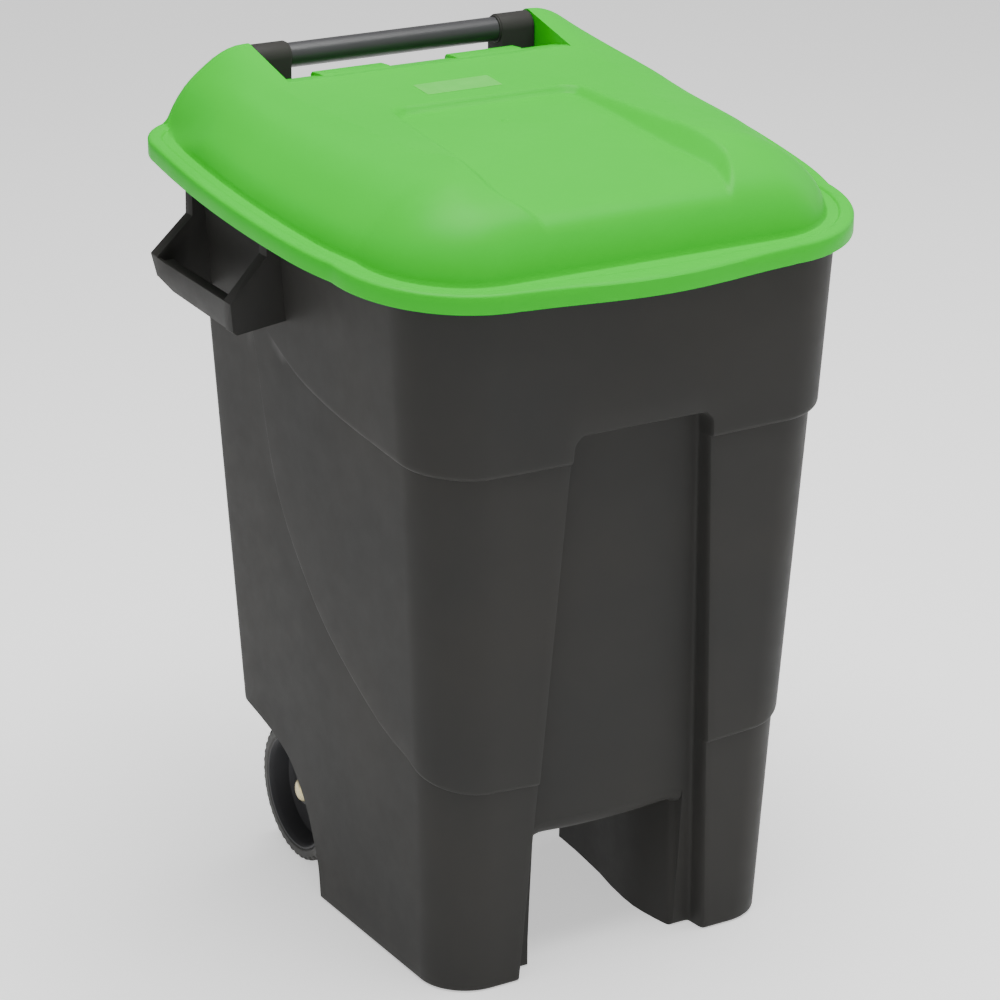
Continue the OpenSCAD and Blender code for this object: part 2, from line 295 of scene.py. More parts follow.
def tub_columns():
    """Places round half the tub: (kind, value), from the middle of the front to the middle of the rear."""
    flat = [("panel", t) for t in np.linspace(0, 1, 9)[:-1]]
    edge = [("edge", d) for d, _ in RECESS_EDGE]
    front = [("front", t) for t in np.linspace(0, 1, 8)[1:]]
    corner = [("corner", a) for a in np.linspace(0, 90, 22)[1:]]
    side_y = [-130, -105, -80, -55, -30, -5, 15, 32, 47, 60, 71, 80, 88, 94, 99, 103, 106, 109, 111, 113, 115,
              117, 119, 122, 126, 135, 150, 170, 190, TUB_REAR - TUB_REAR_R]
    side = [("side", y) for y in side_y]
    rear_corner = [("rear_corner", a) for a in np.linspace(0, 90, 8)[1:]]
    rear = [("rear", t) for t in np.linspace(1, 0, 12)[1:]]
    return flat + edge + front + corner + side + rear_corner + rear


def tub_row_heights(y, top, foot_round):
    """Heights, lower and upper step share of each row of a column whose nominal place is y."""
    lower = curve(LOWER_LINE, y)
    upper = curve(UPPER_LINE, y)
    head = max(RECESS_Z, upper + 27)
    step = [math.sqrt(max(0, 1 - (1 - h / STEP_R) ** 2)) for h in STEP_ROWS]
    rows = [(z, 0, 0) for z in (0, 0.3, 1.1, 2.4) if foot_round]
    start = FOOT_ROUND if foot_round else 0
    rows += [(z, 0, 0) for z in np.linspace(start, lower, 17)[:-1]]
    rows += [(lower + h, s, 0) for h, s in zip(STEP_ROWS, step)]
    rows += [(z, 1, 0) for z in np.linspace(lower + STEP_R, upper, 17)[1:-1]]
    rows += [(upper + h, 1, s) for h, s in zip(STEP_ROWS, step)]
    rows += [(z, 1, 1) for z in np.linspace(upper + STEP_R, head - 14, 3)[1:-1]]
    rows += [(head + d, 1, 1) for d, _ in RECESS_EDGE]
    rows += [(z, 1, 1) for z in np.linspace(head + RECESS_EDGE[-1][0], top, 8)[1:]]
    return rows


def recess_half_width(z):
    return RECESS_FOOT_W + (RECESS_TOP_W - RECESS_FOOT_W) * z / RECESS_Z


def tub_half_ring(g, top_offset, foot_round):
    """Rows of points over half the tub. g takes the shape in by a wall's thickness."""
    columns = tub_columns()
    grid = []
    for kind, value in columns:
        nominal = {"panel": -240, "edge": -240, "side": value}.get(kind, 235)
        if kind == "front":
            nominal = -240 + 12 * value
        if kind == "corner":
            nominal = -228 + 73 * (1 - math.cos(math.radians(value)))
        top = rim_z(min(nominal, TUB_REAR)) + top_offset
        column = []
        for z, s_low, s_up in tub_row_heights(nominal, top, foot_round):
            share = [1 - s_low, s_low - s_up, s_up]
            f = sum(w * v for w, v in zip(share, band_front(z))) - g
            w = sum(s * v for s, v in zip(share, band_half_width(z, min(nominal, 235)))) - g
            w_front = sum(s * v for s, v in zip(share, band_half_width(z, -150))) - g
            r = curve([(0, 50), (212, 56), (540, 65), (700, 71), (790, 74)], z) - g
            inset = 0
            if foot_round and z < FOOT_ROUND:
                inset = FOOT_ROUND - math.sqrt(FOOT_ROUND ** 2 - (FOOT_ROUND - z) ** 2)
            f, w, w_front = f - inset, w - inset, w_front - inset
            edge = recess_half_width(z) + g
            flat_end = w_front - r
            if kind == "panel":
                x, y = value * (edge + RECESS_EDGE[0][0]), -f
            elif kind == "edge":
                x, y = edge + value, -f
            elif kind == "front":
                x0 = edge + RECESS_EDGE[-1][0]
                x, y = x0 + value * (flat_end - x0), -f
            elif kind == "corner":
                a = math.radians(value)
                x, y = flat_end + r * math.sin(a), r - f - r * math.cos(a)
            elif kind == "side":
                x, y = w, value
            elif kind == "rear_corner":
                a = math.radians(value)
                rear_r = TUB_REAR_R - g
                x = w - rear_r + rear_r * math.cos(a)
                y = TUB_REAR - g - rear_r + rear_r * math.sin(a)
            else:
                x, y = value * (w - TUB_REAR_R + g), TUB_REAR - g
            if kind in ("panel", "edge", "front"):
                x, z, share_in = recess_warp(x, z, edge, g)
                floor = FOOT_FRONT - RECESS_DEPTH - g + 0.0806 * z - inset
                y = -f + share_in * (f - floor)
            column.append((x, y, z))
        grid.append(column)
    return np.array(grid).transpose(1, 0, 2)


def recess_warp(x, z, edge, g):
    """Bends the grid round the recess's top corner, and gives the share of the recess's depth there."""
    a, b = x - edge, z - RECESS_Z - g
    r = RECESS_CORNER
    p, q = a + r, b + r
    if p > 0 and q > 0:
        m = max(p, q)
        k = m / math.hypot(p, q)
        k = 1 + (k - 1) * float(np.clip((48 - m) / (48 - r - 6), 0, 1))
        x, z = x + p * (k - 1), z + q * (k - 1)
    depth = max(a, b)
    distances, shares = zip(*RECESS_EDGE)
    return x, z, float(np.interp(depth, distances, shares))


def full_ring(half):
    """Closed rings from half rings whose first and last point are on the middle plane."""
    left = half[:, -2:0:-1].copy()
    left[:, :, 0] *= -1
    return np.concatenate([half, left], axis=1)


# Side view of the wheel arch's edge, from the heel of the legs up and back
ARCH = [(77, 0), (76, 31), (78, 50), (82, 66), (86, 82), (91, 97), (99, 112), (108, 126), (120, 140),
        (136, 150.5), (166, 162), (262, 186)]


def arch_cutter(g):
    """The wheel arch, from the heel of the legs to the rear."""
    y, z = np.array(ARCH, float).T
    t = np.arange(len(ARCH))
    outline = [(y[0] - g, -20)]
    outline += [(float(curve(list(zip(t, y)), k)) - g, float(curve(list(zip(t, z)), k)) + g * 0.9)
                for k in np.linspace(0, len(ARCH) - 1, 43)]
    outline += [(y[-1], -20)]
    return prism("arch", outline, -320, 320)


# Half width of the gap between the legs at y
LEG_INSIDE = [(-158, 83), (-140, 79.5), (-100, 75.5), (-60, 79), (-22, 86), (22, 91.5), (66, 96), (140, 98)]


def gap_cutter(g):
    """The gap between the legs. Its roof rounds up to meet the recess's panel."""
    stations = [-260, -169.5, -169, -168, -166, -163, -160, -157, -154, -151, -148, -143, -138, -132, -125,
                -116, -100, -80, -50, -20, 10, 40, 70, 100, 140]
    rings = []
    for y in stations:
        flare = float(np.interp(y, [-161, -158, -155.5, -152, 0], [3.4, 2.4, 0.7, 0, 0]))
        half = float(curve(LEG_INSIDE, y)) + flare + g
        turn = float(np.clip((BELLY_FRONT - y) / BELLY_ROUND, 0, 1))
        middle = BELLY_Z + BELLY_ROUND * (1 - math.sqrt(1 - turn * turn))
        side = middle + float(curve([(-170, 6), (-140, 10), (-80, 6), (140, 5)], y))
        ring = [(-half, y, -20), (half, y, -20)]
        for a in np.linspace(0, 1, 25):
            x = half * math.cos(math.pi * a)
            z = side - (side - middle) * math.sin(math.pi * a)
            corner = 9 * (abs(x) / half) ** 14
            ring.append((x, y, z - corner + g))
        rings.append(ring)
    obj = ring_solid("gap", rings)
    outward(obj)
    return obj


# Points along each part of the lid's outline
N_FRONT, N_CORNER, N_SIDE, N_REAR = 26, 30, 44, 14


def lid_outline(g=0.0, lip=True):
    """Half the lid's plan, from the middle of the front to the middle of the rear, taken in by g."""
    r = max(LID_CORNER_R - g, 20)
    cx = LID_CORNER_X - g - r
    cy = LIP - LID_FRONT + g + r
    points = []
    for i in range(N_FRONT):
        x = cx * i / N_FRONT
        bulge = LIP * math.cos(min(math.pi / 2, x * math.pi / 350)) ** 2 if lip else 0
        points.append((x, LIP - LID_FRONT + g - bulge))
    for i in range(N_CORNER):
        a = math.pi / 2 * i / N_CORNER
        points.append((cx + r * math.sin(a), cy - r * math.cos(a)))
    rear_r = max(LID_REAR_R - g, 8)
    y_end = LID_REAR - g - rear_r
    for i in range(N_SIDE):
        y = cy + (y_end - cy) * i / N_SIDE
        points.append((lid_side_x(y, cy) - g, y))
    x_end = lid_side_x(y_end, cy) - g - rear_r
    for i in range(N_REAR):
        a = math.pi / 2 * i / N_REAR
        points.append((x_end + rear_r * math.cos(a), y_end + rear_r * math.sin(a)))
    points += [(x_end * (1 - t), LID_REAR - g) for t in np.linspace(0, 1, 30)]
    return np.array(points)


def lid_side_x(y, cy):
    """Half width of the lid at y, meeting the front corner smoothly."""
    bow = 295 - 0.000405 * (y - 76) ** 2
    gap = (295 - 0.000405 * (cy - 76) ** 2) - LID_CORNER_X
    return bow - gap * max(0.0, 1 - (y - cy) / 60) ** 2


def flange():
    """The rim turned out at the tub's top, under the lid."""
    half = lid_outline(LID_WALL + 3)
    x, y = half[:, 0], np.minimum(half[:, 1], TUB_REAR - 3)
    reach = np.where(y > 150, np.interp(y, [150, 180, 224, 230], [300, 276, 238, 236]), 400)
    x = np.minimum(x, reach)
    rings = []
    for inset, dz in [(1.2, 7.8), (0.4, 8.1), (0, 9), (0, 10.8), (0.4, 11.6), (1.2, 12)]:
        ring = np.stack([x - inset * np.sign(x), y + inset * (y < 0) - inset * (y > 200), rim_z(y) + dz], 1)
        rings.append(ring)
    return ring_solid("flange", full_ring(np.array(rings)))


def swing_room(side):
    """Room for the lid's rear corners as they swing."""
    n = 64
    outline = [(BAR_Y + 75.5 * math.cos(2 * math.pi * i / n), BAR_Z + 75.5 * math.sin(2 * math.pi * i / n))
               for i in range(n)]
    low, high = sorted((side * (EAR_IN + 2), side * 320))
    return prism("swing", outline, low, high)


def build_tub():
    tub = ring_solid("tub_shell", full_ring(tub_half_ring(0, 11.6, True)))
    boolean(tub, flange(), "UNION")
    inside = ring_solid("inside", full_ring(tub_half_ring(WALL, 40, False)))
    foot = [(-300, -30), (300, -30), (300, 5), (-300, 5)]
    boolean(inside, prism("foot", foot, -300, 300, "y"), "DIFFERENCE")
    boolean(inside, arch_cutter(WALL), "DIFFERENCE")
    boolean(inside, gap_cutter(WALL), "DIFFERENCE")
    boolean(tub, arch_cutter(0), "DIFFERENCE")
    boolean(tub, gap_cutter(0), "DIFFERENCE")
    boolean(tub, inside, "DIFFERENCE")
    for side in (-1, 1):
        boolean(tub, swing_room(side), "DIFFERENCE")
    smooth(tub, 34)
    return tub


def build_grip():
    """The right side grip: two plates and the bar between them, joined to the tub's side."""
    front, rear = 44, 217
    plate = [(228, 633), (284, 626), (288, 629), (290, 657), (251, 698), (250, 746), (228, 746)]
    rear_plate = [(222, 628), (262, 630), (276, 636), (284, 641.2), (290, 665.5), (251, 700.5), (250, 752),
                  (222, 752)]
    bar = new_object("bar", *grip_bar(front, rear))
    outward(bar)
    boolean(bar, prism("plate", plate, front, front + 15.5, "y"), "UNION")
    boolean(bar, prism("plate", rear_plate, rear - 15, rear, "y"), "UNION")
    bevel(bar, 1.4, 3)
    smooth(bar, 40)
    return bar


def grip_bar(front, rear):
    """Points and faces of the bar that the fingers close round."""
    verts = []
    for y, low, high in ((front + 1, 626, 657), (rear - 35, 634, 662.5), (rear - 1, 641.5, 665)):
        verts += [(277, y, low + 2), (284, y, low), (290, y, high), (286.8, y, high), (286, y, high - 3.5),
                  (272.8, y, high - 3.5), (272.8, y, high - 9)]
    faces = [[7 * s + i, 7 * s + (i + 1) % 7, 7 * s + 7 + (i + 1) % 7, 7 * s + 7 + i]
             for s in range(2) for i in range(7)]
    faces += [list(range(6, -1, -1)), list(range(14, 21))]
    return verts, faces


def build_arm():
    """The right bracket that holds the bar, with its socket."""
    low, high = 121, 159.5
    r = 15.2
    outline = [(TUB_REAR - 2, 600), (BAR_Y + 4, 680), (BAR_Y + r, 720), (BAR_Y + r, BAR_Z)]
    outline += [(BAR_Y + r * math.cos(a), BAR_Z + r * math.sin(a))
                for a in np.linspace(0.12, math.pi - 0.12, 22)]
    outline += [(BAR_Y - r, BAR_Z), (BAR_Y - 13.5, 768), (TUB_REAR - 2, 752)]
    arm = prism("bar_arm", outline, low, high)
    bevel(arm, 1.2, 3, 25)
    section = [(13.2, low - 1.6), (13.9, low - 1.4), (14.2, low - 0.8), (14.2, low + 4), (5, low + 4),
               (5, low - 1.6)]
    collar = lathe("collar", section, BAR_Y, BAR_Z, 64)
    obj = join([arm, collar], "bar_arm_right")
    smooth(obj, 35)
    return obj


def build_rib():
    """The right rib under the tub, with the boss that carries the axle."""
    r = 20
    outline = [(66, 60), (AXLE_Y - 8, AXLE_Z - r)]
    outline += [(AXLE_Y + r * math.sin(a), AXLE_Z - r * math.cos(a)) for a in np.linspace(0, 1.45, 9)]
    outline += [(AXLE_Y + r + 8, 174), (100, 150), (60, 146)]
    rib = prism("axle_rib", outline, 90, 108)
    bevel(rib, 1.4, 3, 25)
    smooth(rib, 35)
    return rib


def build_lug():
    """The right lug under the rim that holds a bag's edge."""
    y = 204
    top = rim_z(y) + 9
    outline = [(y - 5, top), (y - 4.2, 742), (y - 1.5, 738), (y + 3.5, 739.5), (y + 5, top)]
    lug = prism("bag_lug", outline, 262, 270)
    bevel(lug, 0.9, 2)
    smooth(lug, 35)
    return lug


# ---- Lid ----

# Height of the lid's crown line at y: it climbs to the rear
CROWN = [(-230, 793), (-200, 798), (-155, 804.5), (-130, 806.8), (-100, 808.2), (-55, 809.6), (0, 811.9),
         (45, 814.8), (72, 817.2), (120, 822.4), (172, 829.2), (200, 832.4), (270, 839)]
# Distance inside the dome's base at which the side facet meets the crown, at y
CREASE = [(-147, 129), (-99, 125), (-40, 113), (37, 112), (78, 106), (120, 96), (240, 90)]
# Share of the dome's height that is missing at a distance inside its base: at the sides, then at the front
SIDE_FLANK = [(0, 1), (2, 0.91), (8, 0.755), (18, 0.607), (28, 0.486), (48, 0.27), (68, 0.122), (90, 0.058),
              (112, 0)]
FRONT_FLANK = [(0, 1), (2, 0.875), (5, 0.731), (9, 0.597), (14, 0.462), (20, 0.346), (28, 0.243), (38, 0.167),
               (50, 0.122), (62, 0.098), (80, 0.055), (100, 0.02), (125, 0)]
# The shoulder's section at the pivot: half width and height
SHOULDER = [(0, 851.5), (160, 851.5), (172, 850.9), (182, 848.6), (192, 844.4), (206, 835.6), (228, 817.5),
            (243, 796.5), (251, 781.5), (260, 769.5), (273.6, 757), (300, 740)]
SHOULDER_START = 160


def crown_z(y):
    """Height of the lid's crown at y."""
    return curve(CROWN, y)


def dome_base():
    """Half the outline of the dome's base, from the middle of the front to the rear."""
    half = lid_outline(DOME_INSET, lip=False)
    half = half[:N_FRONT + N_CORNER + N_SIDE]
    return np.vstack([half, [half[-1, 0], 330]])


def base_place(x, y):
    """Distance inside the dome's base, and how much that place belongs to the front."""
    base = dome_base()
    start, step = base[:-1], np.diff(base, axis=0)
    length2 = (step ** 2).sum(1)
    shape = np.broadcast(x, y).shape
    px, py = np.broadcast_to(x, shape).ravel(), np.broadcast_to(y, shape).ravel()
    distance = np.empty(len(px))
    for i in range(0, len(px), 4000):
        rel = np.stack([px[i:i + 4000], py[i:i + 4000]], 1)[:, None] - start
        t = np.clip((rel * step).sum(2) / length2, 0, 1)
        distance[i:i + 4000] = np.sqrt(((rel - t[..., None] * step) ** 2).sum(2).min(1))
    ex = np.interp(py, base[N_FRONT - 1:, 1], base[N_FRONT - 1:, 0]) - px
    ey = py - np.interp(px, base[:N_FRONT + N_CORNER, 0], base[:N_FRONT + N_CORNER, 1])
    inside = (ex > 0) & (ey > 0)
    distance = np.where(inside, distance, 0)
    t = np.where(inside, ex / np.maximum(ex + ey, 1e-6), 0.5)
    return distance.reshape(shape), (t * t * (3 - 2 * t)).reshape(shape)


def dome_z(x, y):
    """Height of the dome over (x, y), with x at least 0."""
    d, front_share = base_place(x, y)
    height = crown_z(y) - (rim_z(y) + RIM_H - 3)
    side = curve(SIDE_FLANK, d * 112 / curve(CREASE, y))
    share = side + (curve(FRONT_FLANK, d) - side) * front_share
    return crown_z(y) - height * share


# Half width of the lid's recess at its crest, at y
RECESS_SIDE = [(-235, 88), (-213, 102), (-200, 111), (-185, 120), (-170, 127.5), (-155, 132), (-140, 132.5),
               (-100, 128), (-55, 121.5), (0, 116), (45, 111), (80, 108)]
RECESS_REAR = 73
# Depth under the crest at a distance inside it
RECESS_WALL = [(0, 0), (2, 0.35), (4, 1.4), (7, 4.2), (11, 8.4), (20, 17.5), (30, 27)]
FLOOR_SLOPE = 0.13


def lid_recess_places(x, y):
    """Distances inside the recess's side and rear crests."""
    return curve(RECESS_SIDE, y) - x, RECESS_REAR - y


def recess_z(x, y, dome):
    """Depth of the lid's recess below the dome."""
    side, rear = lid_recess_places(x, y)
    side = side / 1.15
    corner = 22.0
    p, q = np.maximum(corner - side, 0), np.maximum(corner - rear * 1.25, 0)
    place = np.where((p > 0) & (q > 0), corner - np.hypot(p, q), np.minimum(side, rear * 1.25))
    room = curve(RECESS_WALL, np.maximum(place, 0))
    deep = dome - (crown_z(RECESS_REAR) - 4.4 - FLOOR_SLOPE * (RECESS_REAR - y))
    deep = smooth_max(deep, np.zeros_like(deep), 18)
    return np.where(place > 0, -smooth_max(-room, -deep, 1.6), 0)


def lid_body_z(x, y):
    """Height of the dome with its recess and its shoulders."""
    x = np.abs(x)
    dome = dome_z(x, y)
    z = dome - np.maximum(recess_z(x, y, dome), 0)
    t = np.clip((y - SHOULDER_START) / (250 - SHOULDER_START), 0, 1.007)
    start = dome_z(x, np.full_like(y, SHOULDER_START))
    shoulder = start + (curve(SHOULDER, x) - start) * t
    over = np.clip((y - BAR_Y) / 15.5, 0, 1)
    shoulder = shoulder - 15.5 * (1 - np.sqrt(1 - over ** 2))
    return np.where(y > SHOULDER_START, shoulder, z)


def rim_profile(inset):
    """Height of the rim above its lower edge, with the groove round the dome's base."""
    return RIM_H - np.interp(inset, [0, 12, 13.5, 15, 16.5, 40], [0, 0, 0.5, 2.6, 3, 3])


# Places of the lid's rings, in from the rim's edge
INSETS = [0.25, 1.0, 2.2, 4, 7, 10, 12, 13, 14, 15, 16.5, 19, 22, 24, 25.5, 26.3, 27.2, 28.3]
EDGE_ROUND = 4.0


def lid_rings():
    """Rings of the lid's upper face, from the rim's edge to just inside the dome's base."""
    rings = []
    for inset in INSETS:
        lip_part = float(np.clip(1 - inset / 24, 0, 1))
        plan = lid_outline(inset, lip=False) * (1 - lip_part) + lid_outline(inset) * lip_part
        round_off = EDGE_ROUND - math.sqrt(EDGE_ROUND ** 2 - max(0.0, EDGE_ROUND - inset) ** 2)
        x, y = plan[:, 0], plan[:, 1]
        z = np.maximum(rim_z(y) + rim_profile(inset), lid_body_z(x, y)) - round_off
        rings.append(np.stack([x, y, z], 1))
    return full_ring(np.array(rings))


def lid_grid(ring, coarse):
    """Places for the lid's inner points: close together where the surface turns, wide apart elsewhere."""
    step = 2.2
    xs, ys = np.meshgrid(np.arange(-118, 119) * step, np.arange(-112, 118) * step)
    ii, jj = np.meshgrid(np.arange(-118, 119), np.arange(-112, 118))
    x, y = xs.ravel(), ys.ravel()
    d, _ = base_place(np.abs(x), y)
    rear_room = LID_REAR - 30 - y
    side, rear = lid_recess_places(np.abs(x), y)
    on_side = (side > -8) & (side < 36) & (rear > -3)
    on_rear = (rear > -3) & (rear < 9) & (side > -4)
    near_crease = np.abs(d - curve(CREASE, y)) < 7
    fine = ((on_side | on_rear) & (y > -222)) | (near_crease & (y > -150) & (y < 150))
    mid = (d < 60) | (y > 140)
    every = np.where(fine, 1, np.where(mid, 2, 4)) if not coarse else 4
    keep = (ii.ravel() % every == 0) & (jj.ravel() % every == 0)
    keep &= (d > 4.4) & (rear_room > 2.5)
    points = np.stack([x, y], 1)[keep]
    # Keep clear of the ring itself
    gap = np.sqrt(((points[:, None] - ring[None, :, :2]) ** 2).sum(2).min(1))
    return points[gap > 1.6]


def lid_solid(inner):
    """The lid as a closed solid, or the space inside it."""
    g = LID_WALL if inner else 0
    rings = lid_rings()
    last = rings[-1]
    n = len(last)
    grid = lid_grid(last, inner)
    flat = [Vector(p) for p in np.vstack([last[:, :2], grid]).tolist()]
    found = delaunay_2d_cdt(flat, [(i, (i + 1) % n) for i in range(n)], [], 1, 1e-5)
    assert len(found[0]) == len(flat)
    home = [ids[0] for ids in found[3]]
    top = np.column_stack([grid, lid_body_z(grid[:, 0], grid[:, 1])])
    edge = rings[0]
    skirt = []
    for t, inset in [(-30.0, 0), (6.0, 0)] if inner else [(0.0, 0.7), (0.4, 0.2), (1.2, 0), (9.0, 0)]:
        skirt.append(np.column_stack([edge[:, 0] * (1 - inset / 290), edge[:, 1] * (1 - inset / 262),
                                      rim_z(edge[:, 1]) + t + g]))
    stack = np.concatenate([np.array(skirt), rings])
    k = len(stack)
    verts = np.concatenate([stack.reshape(-1, 3), top])
    faces = [[r * n + i, r * n + (i + 1) % n, (r + 1) * n + (i + 1) % n, (r + 1) * n + i]
             for r in range(k - 1) for i in range(n)]
    faces.append(list(range(n - 1, -1, -1)))
    faces += [[home[v] + (k - 1) * n for v in face] for face in found[2]]
    if inner:
        # A little more than the wall, so that the groove keeps its thickness at the corners
        verts = verts * [1 - g / 290, 1 - g / 262, 1] - [0, 0, g + 1.1]
    return new_object("lid_inner" if inner else "lid_outer", verts, faces)


def notch_cutter(g):
    """The space for the bar and its arms between the lid's shoulders."""
    y0, y1 = 212, 234
    outline = [(166, crown_z(166) + 0.3), (170, crown_z(170) - 0.05), (174, crown_z(172) - 0.5),
               (201.5, 823.9), (203.4, 823.1), (204.4, 821.6), (204.8, 819), (y0 - 2, 781),
               (y0, rim_z(y0) + RIM_H + 0.8), (y0 + 3, rim_z(y0) + RIM_H), (y1, rim_z(y1) + RIM_H)]
    shifted = [(float(a) - g * (a > 200), float(b) - g) for a, b in outline]
    shifted += [(y1, 600), (400, 600), (400, 1000), (166, 1000)]
    return prism("notch", shifted, -EAR_IN - g, EAR_IN + g)


def build_lid():
    lid = lid_solid(False)
    outward(lid)
    boolean(lid, notch_cutter(0), "DIFFERENCE")
    inner = lid_solid(True)
    outward(inner)
    boolean(inner, notch_cutter(LID_WALL), "DIFFERENCE")
    boolean(lid, inner, "DIFFERENCE")
    # The middle has no rear skirt, so it passes over the tub's rear wall
    a, b = 190, 300
    ceiling = RIM_H - LID_WALL
    under = [(a, rim_z(a) - 30), (b, rim_z(b) - 30), (b, rim_z(b) + ceiling), (a, rim_z(a) + ceiling)]
    boolean(lid, prism("under", under, -EAR_IN - 3, EAR_IN + 3), "DIFFERENCE")
    smooth(lid, 36)
    return lid


def build_lid_tab(low, high, name):
    """A tab on the rear edge of the lid's middle part."""
    outline = [(178, 825.8), (178, 827.4), (190, 828.1), (205.5, 827.2), (208.6, 824.6), (208.6, 820.5),
               (206, 820), (200, 822.2)]
    tab = prism(name, outline, low, high)
    bevel(tab, 1.1, 3)
    smooth(tab, 35)
    return tab


LABEL_X = -7                    # the label sits a little left of the middle


def build_label():
    """The blank film stuck on the lid."""
    x0, y0, y1, r = 42, 91, 121, 1.5
    outline = []
    corners = [(x0 - r, y0 + r, -90), (x0 - r, y1 - r, 0), (r - x0, y1 - r, 90), (r - x0, y0 + r, 180)]
    for cx, cy, start in corners:
        for k in range(7):
            a = math.radians(start + 15 * k)
            outline.append((cx + r * math.cos(a), cy + r * math.sin(a)))
    outline = np.array(outline)
    rings = []
    for shrink, dz in ((0, -0.2), (0, 0.24), (0.15, 0.35)):
        x, y = outline[:, 0], outline[:, 1]
        cx, cy = x * (1 - shrink / x0) + LABEL_X, (y0 + y1) / 2 + (y - (y0 + y1) / 2) * (1 - shrink / 15)
        rings.append(np.stack([cx, cy, lid_body_z(cx, cy) + dz], 1))
    return ring_solid("lid_film", rings)


def build_gate():
    """The little witness mark where the lid's mould was fed."""
    x, y = -6, 18
    rings = []
    for r, dz in ((4.2, -0.4), (4.2, 0.1), (3.6, 0.35), (2.4, 0.3), (1.8, 0.15), (1.2, 0.5), (0.3, 0.6)):
        ring = [(x + r * math.cos(a), y + r * math.sin(a)) for a in np.linspace(0, 2 * math.pi, 33)[:-1]]
        ring = np.array(ring)
        rings.append(np.stack([ring[:, 0], ring[:, 1], lid_body_z(ring[:, 0], ring[:, 1]) + dz], 1))
    gate = ring_solid("lid_gate_mark", rings)
    smooth(gate, 50)
    return gate


# ---- Wheels ----

WHEEL_OUT = TYRE_HIGH[0]
WHEEL_IN = TYRE_LOW[0]
NOTCHES = 45


def build_tyre():
    """The right tyre, with notches cut into both edges of its tread."""
    r, seat = WHEEL_R, WHEEL_R - 13
    out, inn = WHEEL_OUT, WHEEL_IN
    profile = [(seat, inn + 1.5), (seat + 3, inn), (seat + 8, inn), (r - 2.4, inn + 0.8),
               (r - 0.9, inn + 2.2), (r - 0.1, inn + 5), (r, inn + 8), (r, inn + 14), (r, (inn + out) / 2),
               (r, out - 14), (r, out - 8), (r - 0.1, out - 5), (r - 0.9, out - 2.2), (r - 2.4, out - 0.8),
               (seat + 8, out), (seat + 2, out), (seat, out - 1.5)]
    middle = (inn + out) / 2

    def notched(radius, x, angle):
        edge = np.clip((abs(x - middle) - 11) / 5, 0, 1) * np.clip((radius - seat - 8) / 2, 0, 1)
        wave = 0.5 - 0.5 * math.cos(angle * NOTCHES)
        return radius - 3.2 * edge * min(1.0, max(0.0, wave - 0.35) / 0.5)

    tyre = lathe("tyre_tread_right", profile, AXLE_Y, AXLE_Z, NOTCHES * 8, notched)
    smooth(tyre, 30)
    return tyre


def build_rim():
    """The right wheel's dished centre."""
    seat = WHEEL_R - 13
    out, inn = WHEEL_OUT, WHEEL_IN
    hub = out - 12
    bore = (AXLE_HIGH[2] - AXLE_LOW[2]) / 2 + 0.05
    inner = [(bore, inn - 1.9), (17, inn - 1.9), (18, inn - 1), (18.6, 134), (20, 136.5), (seat - 14, 138),
             (seat - 8, 136), (seat - 5.5, inn + 2), (seat - 4.5, inn + 1), (seat, inn + 1)]
    outer = [(seat, out - 1), (seat - 0.6, out - 0.4), (seat - 2.2, out - 0.4), (seat - 3.2, out - 1.2),
             (seat - 5.5, out - 6), (seat - 9.5, 146), (seat - 13, 143.4), (seat - 17, 142.6), (23, 142),
             (19.5, 143), (18.2, 145), (17.6, hub - 1), (16.6, hub), (bore, hub)]
    rim = lathe("wheel_dish_right", inner + outer, AXLE_Y, AXLE_Z, 96)
    smooth(rim, 32)
    return rim


def build_cap():
    """The right pressed cap on the axle's end, over the outer washer."""
    low = WHEEL_OUT - 12 + 2.4
    profile = [(8, low), (12, low), (12.4, low + 0.4), (12.4, low + 1.2), (11.9, low + 2.4),
               (10.8, low + 3.8), (9, low + 5), (6, low + 6.1), (3, low + 6.7), (0.05, low + 6.9),
               (0.05, low + 3.7), (8, low + 3.7)]
    cap = lathe("cap_dome_right", profile, AXLE_Y, AXLE_Z, 64)
    smooth(cap, 40)
    return cap


# ---- Materials ----

